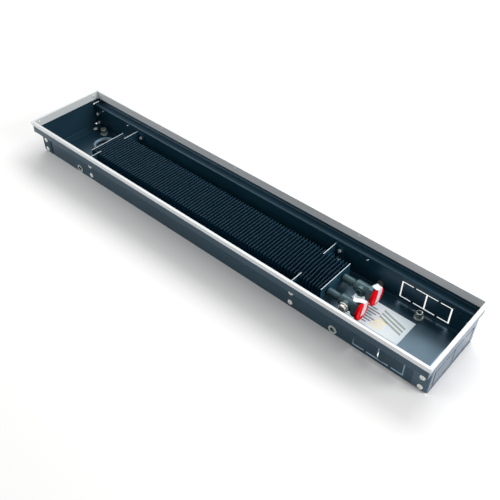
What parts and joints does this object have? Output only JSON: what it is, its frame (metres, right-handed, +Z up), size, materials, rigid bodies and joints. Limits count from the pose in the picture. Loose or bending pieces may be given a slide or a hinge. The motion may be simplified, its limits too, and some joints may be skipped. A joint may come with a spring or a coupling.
{
  "type": "trench convector heater",
  "caption": "Recessed floor convector: folded steel trough with edge frame, finned heat exchanger on brackets, capped pipe connections, bleed vent and levelling screws.",
  "frame": {"origin": "middle of the underside of the trough", "axes": "+X along the trough towards the pipe connections, +Y across it towards the side without the bleed vent, +Z up"},
  "size_m": [1.05, 0.195, 0.0875],
  "materials": {
    "trough": "satin",
    "frame": "satin anodised",
    "rivet": "bright",
    "fins": "painted satin",
    "plates": "satin",
    "tubes": "painted satin",
    "fittings": "painted satin",
    "gasket": "matt",
    "nickel": "nickel plated",
    "cap": "gloss",
    "paper": "matt",
    "zinc": "zinc plated",
    "tip": "dark zinc plated"
  },
  "bodies": {
    "trough": {"trough_pan": "trough", "end_wall_left": "trough", "end_wall_right": "trough", "wall_rivets": "rivet", "frame_front": "frame", "frame_back": "frame", "frame_left": "frame", "frame_right": "frame", "frame_rivets": "rivet", "fin_pack": "fins", "end_plate_left": "plates", "end_plate_right": "plates", "tube_front": "tubes", "tube_back": "tubes", "return_bend": "tubes", "bracket_left": "plates", "bracket_right": "plates", "bracket_rivets": "rivet", "tee_front": "fittings", "tee_back": "fittings", "vent_gasket": "gasket", "plug_gasket": "gasket", "vent_body": "nickel", "blank_plug": "fittings", "side_inserts": "zinc", "level_bush_left_front": "zinc", "level_bush_left_back": "zinc", "level_bush_right_front": "zinc", "level_bush_right_back": "zinc", "floor_label": "paper"},
    "front_cap": {"cap_front": "cap", "tape_front": "paper"},
    "back_cap": {"cap_back": "cap", "tape_back": "paper"},
    "bleed": {"bleed_screw": "nickel"},
    "tip_left_front": {"level_tip_left_front": "tip"},
    "tip_left_back": {"level_tip_left_back": "tip"},
    "tip_right_front": {"level_tip_right_front": "tip"},
    "tip_right_back": {"level_tip_right_back": "tip"},
    "screw_left_front": {"level_screw_left_front": "zinc"},
    "screw_left_back": {"level_screw_left_back": "zinc"},
    "screw_right_front": {"level_screw_right_front": "zinc"},
    "screw_right_back": {"level_screw_right_back": "zinc"}
  },
  "joints": [
    {"name": "front_cap_pull", "type": "slide", "parent": "trough", "child": "front_cap", "axis": [1, 0, 0], "range_m": [0, 0.04]},
    {"name": "back_cap_pull", "type": "slide", "parent": "trough", "child": "back_cap", "axis": [1, 0, 0], "range_m": [0, 0.04]},
    {"name": "bleed_turn", "type": "hinge", "parent": "trough", "child": "bleed", "pos_m": [0.3217, -0.045, 0.034], "axis": [0, -1, 0], "range_deg": [0, 360]},
    {"name": "left_front_level", "type": "slide", "parent": "trough", "child": "tip_left_front", "axis": [0, 0, -1], "range_m": [0, 0.009]},
    {"name": "left_back_level", "type": "slide", "parent": "trough", "child": "tip_left_back", "axis": [0, 0, -1], "range_m": [0, 0.009]},
    {"name": "right_front_level", "type": "slide", "parent": "trough", "child": "tip_right_front", "axis": [0, 0, -1], "range_m": [0, 0.009]},
    {"name": "right_back_level", "type": "slide", "parent": "trough", "child": "tip_right_back", "axis": [0, 0, -1], "range_m": [0, 0.009]},
    {"name": "left_front_turn", "type": "hinge", "parent": "tip_left_front", "child": "screw_left_front", "pos_m": [-0.473, -0.0603, 0.008], "axis": [0, 0, -1], "range_deg": [0, 2161]},
    {"name": "left_back_turn", "type": "hinge", "parent": "tip_left_back", "child": "screw_left_back", "pos_m": [-0.473, 0.0603, 0.008], "axis": [0, 0, -1], "range_deg": [0, 2161]},
    {"name": "right_front_turn", "type": "hinge", "parent": "tip_right_front", "child": "screw_right_front", "pos_m": [0.424, -0.0603, 0.008], "axis": [0, 0, -1], "range_deg": [0, 2161]},
    {"name": "right_back_turn", "type": "hinge", "parent": "tip_right_back", "child": "screw_right_back", "pos_m": [0.424, 0.0603, 0.008], "axis": [0, 0, -1], "range_deg": [0, 2161]}
  ],
  "couplings": [
    {"joint": "left_front_turn", "follows": "left_front_level", "rad_per_m": 4188.8},
    {"joint": "left_back_turn", "follows": "left_back_level", "rad_per_m": 4188.8},
    {"joint": "right_front_turn", "follows": "right_front_level", "rad_per_m": 4188.8},
    {"joint": "right_back_turn", "follows": "right_back_level", "rad_per_m": 4188.8}
  ]
}
